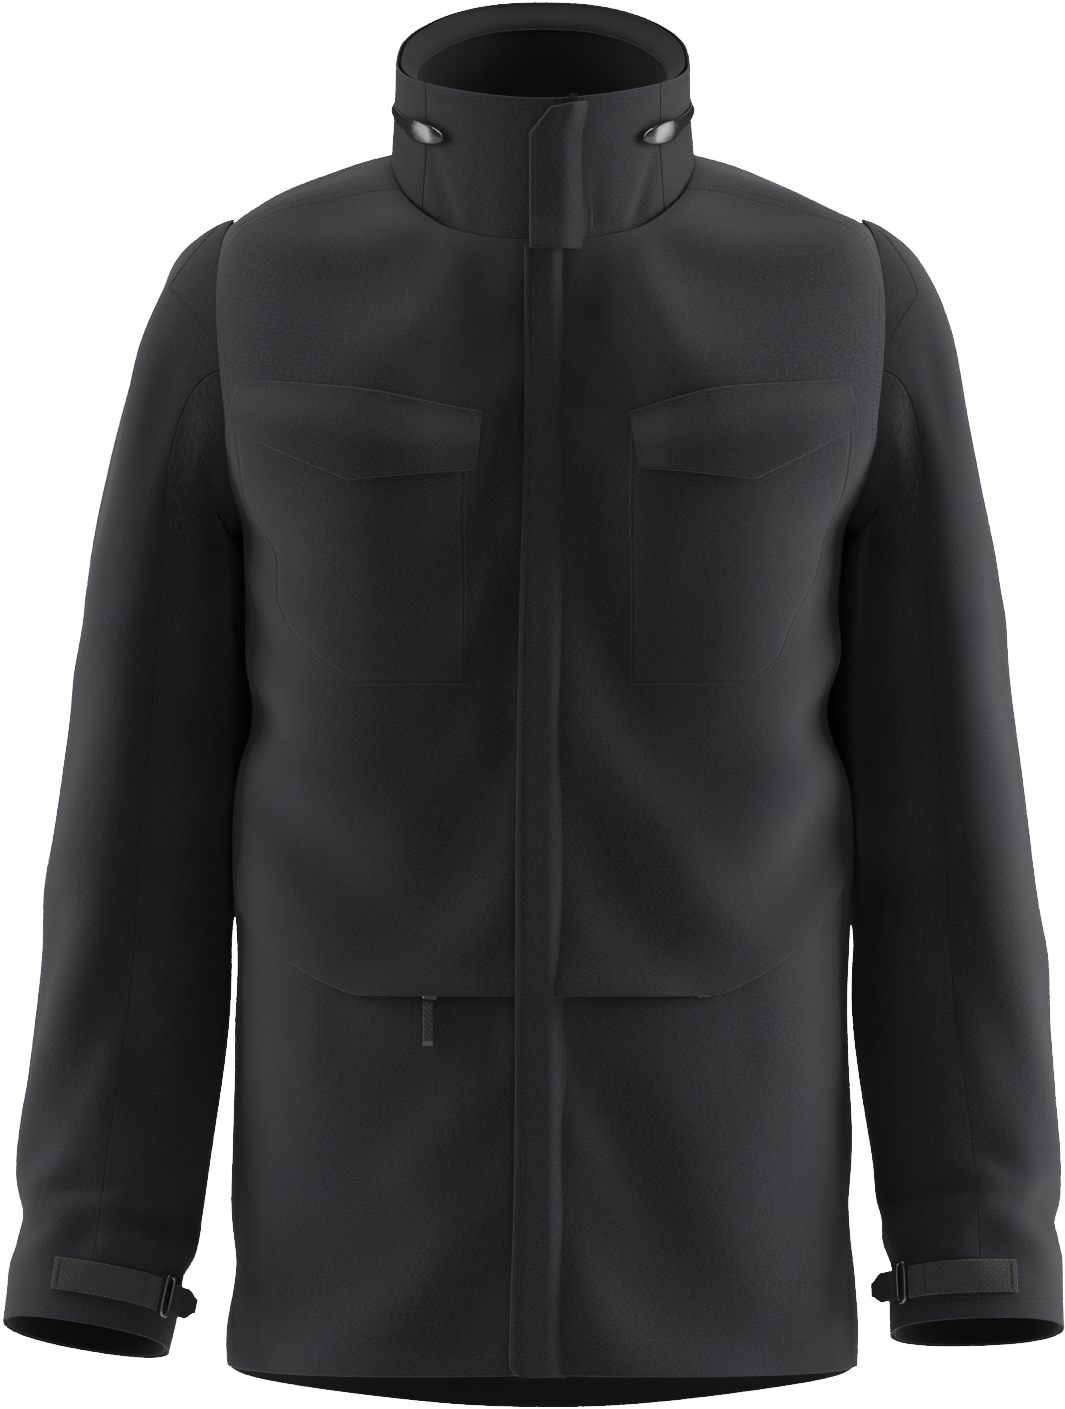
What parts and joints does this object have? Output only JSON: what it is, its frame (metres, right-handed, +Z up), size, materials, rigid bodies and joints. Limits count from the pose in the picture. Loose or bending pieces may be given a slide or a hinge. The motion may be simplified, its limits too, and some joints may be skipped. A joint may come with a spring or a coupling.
{
  "type": "hardshell jacket",
  "caption": "Hip-length hardshell jacket with a stand collar holding a stowed hood, a storm flap over the front zip, chest and waist pockets and strap-adjusted cuffs.",
  "frame": {"origin": "underside of the flat top span of the hanger loop inside the back neck, where a peg bears", "axes": "+Z up along the hanging jacket, -Y out of the wearer's chest, +X to the wearer's left"},
  "size_m": [0.6531, 0.2611, 0.8885],
  "materials": {
    "shell_cloth": "matte black laminated nylon twill with a slight sheen",
    "lining_cloth": "brushed brown-black facing cloth",
    "webbing": "ribbed nylon webbing",
    "zip_tape": "coated water-resistant zip tape with a plastic coil",
    "gloss_trim": "glossy moulded film over the zip ends",
    "metal": "dark plated metal"
  },
  "bodies": {
    "jacket": {"front_panel_right": "shell_cloth", "skirt_panel_right": "shell_cloth", "side_panel_right": "shell_cloth", "front_panel_left": "shell_cloth", "skirt_panel_left": "shell_cloth", "side_panel_left": "shell_cloth", "back_panel": "shell_cloth", "shoulder_yoke": "shell_cloth", "front_zip_tape_right": "zip_tape", "front_zip_tape_left": "zip_tape", "wind_guard": "shell_cloth", "front_stud_1": "metal", "front_stud_2": "metal", "front_stud_3": "metal", "front_stud_4": "metal", "collar_front_right": "shell_cloth", "collar_front_left": "shell_cloth", "collar_back_lower": "shell_cloth", "collar_back_upper": "shell_cloth", "stowed_hood": "shell_cloth", "collar_lining": "lining_cloth", "hood_zip": "zip_tape", "hood_zip_cover_right": "gloss_trim", "hood_zip_cover_left": "gloss_trim", "hanger_loop": "webbing", "chest_pocket_right": "shell_cloth", "chest_pocket_left": "shell_cloth", "waist_zip_right": "zip_tape", "waist_zip_left": "zip_tape"},
    "storm_flap": {"storm_flap": "shell_cloth", "flap_socket_1": "metal", "flap_socket_2": "metal", "flap_socket_3": "metal", "flap_socket_4": "metal"},
    "throat_flap": {"throat_flap": "shell_cloth"},
    "front_slider": {"front_slider": "metal"},
    "front_pull": {"front_pull": "metal"},
    "hood_slider": {"hood_zip_slider": "metal"},
    "chest_flap_right": {"chest_flap_right": "shell_cloth"},
    "chest_flap_left": {"chest_flap_left": "shell_cloth"},
    "waist_slider_right": {"waist_zip_slider_right": "metal"},
    "waist_tab": {"waist_zip_tab": "webbing"},
    "waist_slider_left": {"waist_zip_slider_left": "metal"},
    "sleeve_right": {"sleeve_outer_right": "shell_cloth", "sleeve_inner_right": "shell_cloth", "cuff_facing_right": "lining_cloth", "cuff_strap_right": "webbing"},
    "cuff_buckle_right": {"cuff_buckle_right": "metal"},
    "cuff_tab_right": {"cuff_tab_right": "shell_cloth"},
    "sleeve_left": {"sleeve_outer_left": "shell_cloth", "sleeve_inner_left": "shell_cloth", "cuff_facing_left": "lining_cloth", "cuff_strap_left": "webbing"},
    "cuff_buckle_left": {"cuff_buckle_left": "metal"},
    "cuff_tab_left": {"cuff_tab_left": "shell_cloth"}
  },
  "joints": [
    {"name": "storm_flap_open", "type": "hinge", "parent": "jacket", "child": "storm_flap", "pos_m": [0.014, -0.1733, -0.39218], "axis": [0, 0.0427, 0.9991], "range_deg": [0, 125]},
    {"name": "throat_flap_open", "type": "hinge", "parent": "jacket", "child": "throat_flap", "pos_m": [0.018, -0.15835, -0.0425], "axis": [0, 0.0427, 0.9991], "range_deg": [0, 110]},
    {"name": "front_zip", "type": "slide", "parent": "jacket", "child": "front_slider", "axis": [0, -0.0427, -0.9991], "range_m": [0, 0.72]},
    {"name": "front_pull_swing", "type": "hinge", "parent": "front_slider", "child": "front_pull", "pos_m": [0, -0.15477, -0.01963], "axis": [0, 1, 0], "range_deg": [-10, 10]},
    {"name": "hood_zip_run", "type": "hinge", "parent": "jacket", "child": "hood_slider", "pos_m": [0, -0.067, 0.003], "axis": [0, 0.3322, -0.9432], "range_deg": [0, 253]},
    {"name": "chest_flap_open_right", "type": "hinge", "parent": "jacket", "child": "chest_flap_right", "pos_m": [-0.10729, -0.17456, -0.17537], "axis": [-0.9721, 0.1921, 0.1343], "range_deg": [0, 100]},
    {"name": "chest_flap_open_left", "type": "hinge", "parent": "jacket", "child": "chest_flap_left", "pos_m": [0.11449, -0.17407, -0.17333], "axis": [-0.972, -0.1816, -0.149], "range_deg": [0, 100]},
    {"name": "waist_zip_run_right", "type": "hinge", "parent": "jacket", "child": "waist_slider_right", "pos_m": [-0.01916, 0.08514, -0.543], "axis": [0, 0, 1], "range_deg": [-9.6, 9.1]},
    {"name": "waist_tab_swing", "type": "hinge", "parent": "waist_slider_right", "child": "waist_tab", "pos_m": [-0.06976, -0.17401, -0.5458], "axis": [-0.9815, 0.1916, 0], "range_deg": [0, 100]},
    {"name": "waist_zip_run_left", "type": "hinge", "parent": "jacket", "child": "waist_slider_left", "pos_m": [0.02152, 0.07269, -0.543], "axis": [0, 0, 1], "range_deg": [-14.2, 1.8]},
    {"name": "shoulder_lift_right", "type": "hinge", "parent": "jacket", "child": "sleeve_right", "pos_m": [-0.199, -0.054, -0.059], "axis": [0, 1, 0], "range_deg": [0, 35]},
    {"name": "cuff_buckle_tilt_right", "type": "hinge", "parent": "sleeve_right", "child": "cuff_buckle_right", "pos_m": [-0.233, -0.12609, -0.72637], "axis": [-0.1981, -0.2218, -0.9548], "range_deg": [0, 35]},
    {"name": "cuff_tab_pull_right", "type": "slide", "parent": "sleeve_right", "child": "cuff_tab_right", "axis": [0.6398, 0.7087, -0.2974], "range_m": [0, 0.015]},
    {"name": "shoulder_lift_left", "type": "hinge", "parent": "jacket", "child": "sleeve_left", "pos_m": [0.204, -0.054, -0.059], "axis": [0, -1, 0], "range_deg": [0, 35]},
    {"name": "cuff_buckle_tilt_left", "type": "hinge", "parent": "sleeve_left", "child": "cuff_buckle_left", "pos_m": [0.22227, -0.12552, -0.71848], "axis": [-0.03, 0.244, 0.9693], "range_deg": [0, 35]},
    {"name": "cuff_tab_pull_left", "type": "slide", "parent": "sleeve_left", "child": "cuff_tab_left", "axis": [-0.6622, 0.7215, -0.2021], "range_m": [0, 0.015]}
  ]
}
